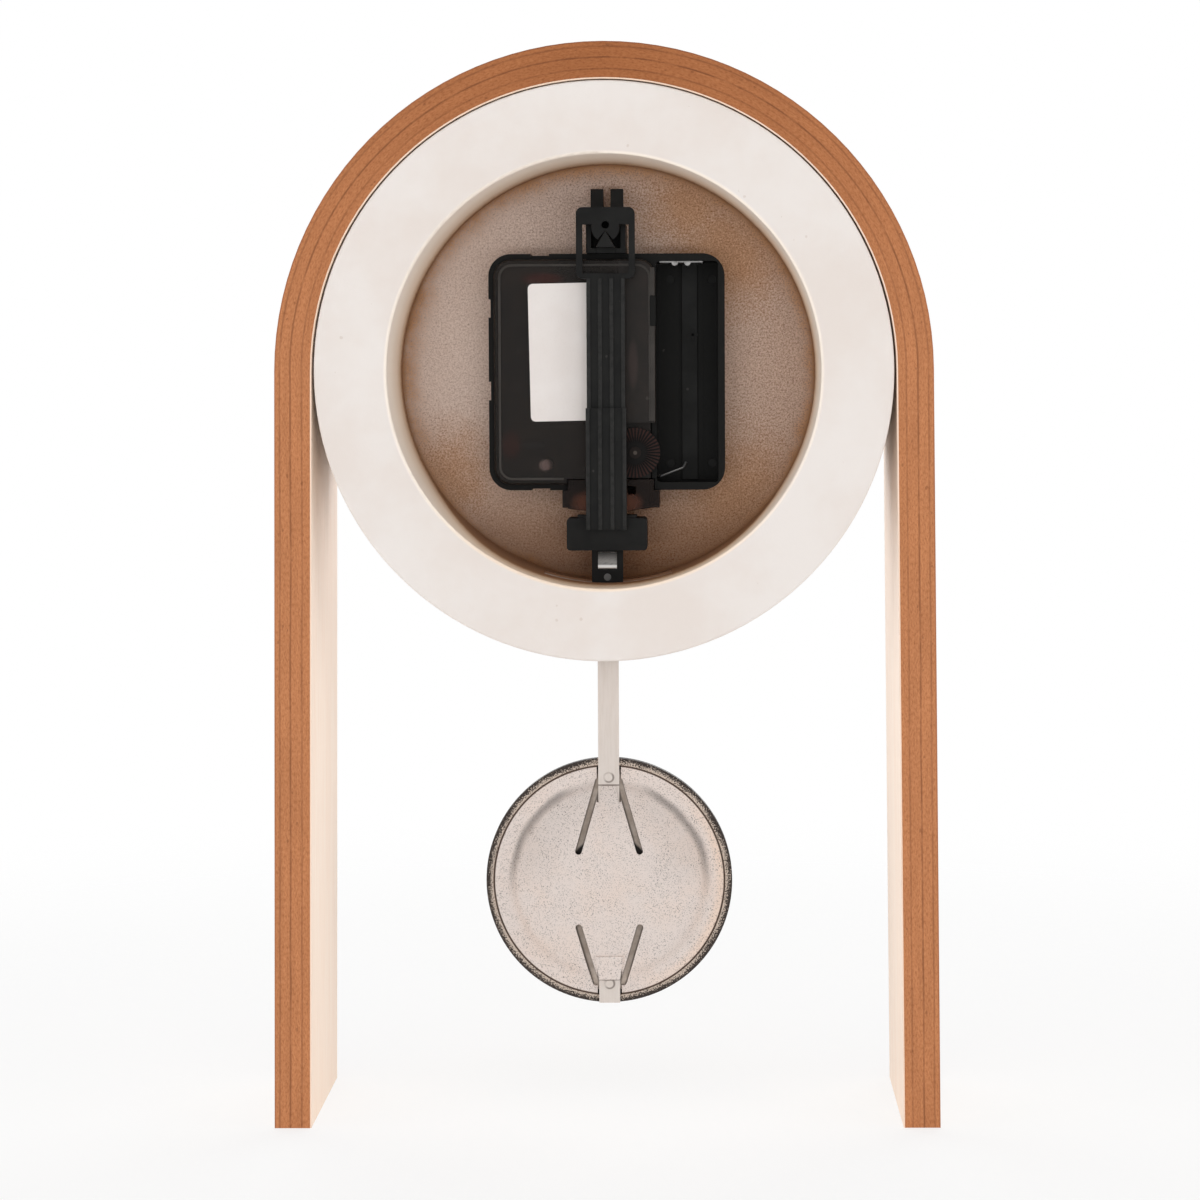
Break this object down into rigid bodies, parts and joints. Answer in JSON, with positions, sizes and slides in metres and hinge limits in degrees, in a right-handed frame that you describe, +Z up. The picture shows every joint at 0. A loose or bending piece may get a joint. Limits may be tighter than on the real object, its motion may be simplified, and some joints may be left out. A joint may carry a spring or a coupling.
{
  "type": "desk pendulum clock",
  "caption": "Desk clock with a white drum in a bent wooden arch, a battery pendulum movement in its open back and a round bob that swings between the legs.",
  "frame": {"origin": "on the table, midway between the feet and midway through the depth of the arch", "axes": "+Z up, +Y to the open back, -Y to the dial, +X to the right as seen from the dial"},
  "size_m": [0.154, 0.05, 0.25],
  "materials": {
    "wood_core": "bare edge of bent laminated wood",
    "maple_veneer": "pale satin veneer",
    "white_paint": "fibreboard with matt white paint",
    "raw_board": "raw fibreboard dusted with white overspray",
    "dial_paper": "matt white printed card",
    "gasket_rubber": "matt black",
    "brass": "bright turned",
    "black_plastic": "fine spark-eroded black",
    "smoked_plastic": "smoked and slightly see-through",
    "amber_plastic": "brown smoked and slightly see-through",
    "label_paper": "blank white coated paper",
    "bright_steel": "nickel plated",
    "gear_plastic": "natural moulded resin",
    "bridge_plastic": "dark brown moulded resin",
    "pin_plastic": "pinkish moulded resin",
    "shaft_brass": "turned",
    "knob_plastic": "reddish brown with a satin sheen",
    "magnet": "sintered grey",
    "copper_wire": "enamelled copper",
    "circuit_laminate": "brown laminate",
    "crystal_can": "bright drawn can",
    "chip_resin": "black resin drop",
    "rod_paint": "cream white paint",
    "bob_plate_metal": "silver white paint with a fine speckle",
    "bob_shell_paint": "satin dark paint that thins to a speckle on the rim",
    "hand_black": "satin black"
  },
  "bodies": {
    "clock_case": {"arch_core": "wood_core", "fixing_dowels": "wood_core", "arch_inner_veneer": "maple_veneer", "arch_outer_veneer": "maple_veneer", "drum_ring": "white_paint", "dial_board": "raw_board", "dial": "dial_paper", "movement_gasket": "gasket_rubber", "fixing_washer": "brass", "fixing_nut": "brass", "movement_rear_cover": "smoked_plastic", "drive_coil_housing": "amber_plastic", "rating_label": "label_paper", "movement_front_case": "black_plastic", "hanger_bracket": "black_plastic", "battery_contact_positive": "bright_steel", "battery_contact_negative": "bright_steel", "bridge_screws": "bright_steel", "motor_stator": "bright_steel", "motor_core": "bright_steel", "train_bridge": "bridge_plastic", "motor_bobbin": "bridge_plastic", "drive_coil_bobbin": "bridge_plastic", "circuit_pin": "pin_plastic", "motor_winding": "copper_wire", "drive_winding": "copper_wire", "circuit_board": "circuit_laminate", "quartz_crystal": "crystal_can", "control_chip": "chip_resin"},
    "pendulum": {"pendulum_hanger": "black_plastic", "pendulum_lower_bar": "black_plastic", "drive_magnet": "magnet", "pendulum_rod": "rod_paint", "rod_rivet": "bright_steel", "bob_front_shell": "bob_shell_paint", "bob_rear_plate": "bob_plate_metal"},
    "minute_hand_set": {"minute_arbor": "shaft_brass", "minute_hand": "hand_black", "hand_cap_nut": "shaft_brass"},
    "hour_hand_set": {"hour_wheel": "gear_plastic", "hour_hand": "hand_black"},
    "motion_wheel": {"minute_wheel": "gear_plastic"},
    "knob": {"setting_knob": "knob_plastic"},
    "motor_rotor_set": {"motor_rotor": "magnet"},
    "fifth_wheel_set": {"fifth_wheel": "gear_plastic"},
    "fourth_wheel_set": {"fourth_wheel": "gear_plastic"},
    "third_wheel_set": {"third_wheel": "gear_plastic"},
    "centre_wheel_set": {"centre_wheel": "gear_plastic"}
  },
  "joints": [
    {"name": "pendulum_swing", "type": "hinge", "parent": "clock_case", "child": "pendulum", "pos_m": [0, 0.0061, 0.2078], "axis": [0, 1, 0], "range_deg": [-6, 6]},
    {"name": "minute_hand_turn", "type": "hinge", "parent": "clock_case", "child": "minute_hand_set", "pos_m": [0, -0.009, 0.1747], "axis": [0, 1, 0], "continuous": true},
    {"name": "hour_hand_turn", "type": "hinge", "parent": "clock_case", "child": "hour_hand_set", "pos_m": [0, -0.009, 0.1747], "axis": [0, 1, 0], "continuous": true},
    {"name": "motion_wheel_turn", "type": "hinge", "parent": "clock_case", "child": "motion_wheel", "pos_m": [-0.00171, -0.009, 0.16501], "axis": [0, 1, 0], "continuous": true},
    {"name": "setting_knob_turn", "type": "hinge", "parent": "clock_case", "child": "knob", "pos_m": [-0.00671, -0.009, 0.1556], "axis": [0, 1, 0], "continuous": true},
    {"name": "rotor_spin", "type": "hinge", "parent": "clock_case", "child": "motor_rotor_set", "pos_m": [0.00438, -0.009, 0.18863], "axis": [0, 1, 0], "continuous": true},
    {"name": "fifth_wheel_turn", "type": "hinge", "parent": "clock_case", "child": "fifth_wheel_set", "pos_m": [-0.00157, -0.009, 0.18363], "axis": [0, 1, 0], "continuous": true},
    {"name": "fourth_wheel_turn", "type": "hinge", "parent": "clock_case", "child": "fourth_wheel_set", "pos_m": [0, -0.009, 0.1747], "axis": [0, 1, 0], "continuous": true},
    {"name": "third_wheel_turn", "type": "hinge", "parent": "clock_case", "child": "third_wheel_set", "pos_m": [0.00785, -0.009, 0.17923], "axis": [0, 1, 0], "continuous": true},
    {"name": "centre_wheel_turn", "type": "hinge", "parent": "clock_case", "child": "centre_wheel_set", "pos_m": [0, -0.009, 0.1747], "axis": [0, 1, 0], "continuous": true}
  ],
  "couplings": [
    {"joint": "hour_hand_turn", "follows": "minute_hand_turn", "ratio": 0.083333},
    {"joint": "motion_wheel_turn", "follows": "minute_hand_turn", "ratio": -0.33333},
    {"joint": "setting_knob_turn", "follows": "minute_hand_turn", "ratio": 0.75},
    {"joint": "fifth_wheel_turn", "follows": "rotor_spin", "ratio": -0.2},
    {"joint": "fourth_wheel_turn", "follows": "rotor_spin", "ratio": 0.033333},
    {"joint": "third_wheel_turn", "follows": "rotor_spin", "ratio": -0.0044444},
    {"joint": "centre_wheel_turn", "follows": "rotor_spin", "ratio": 0.00055556}
  ]
}
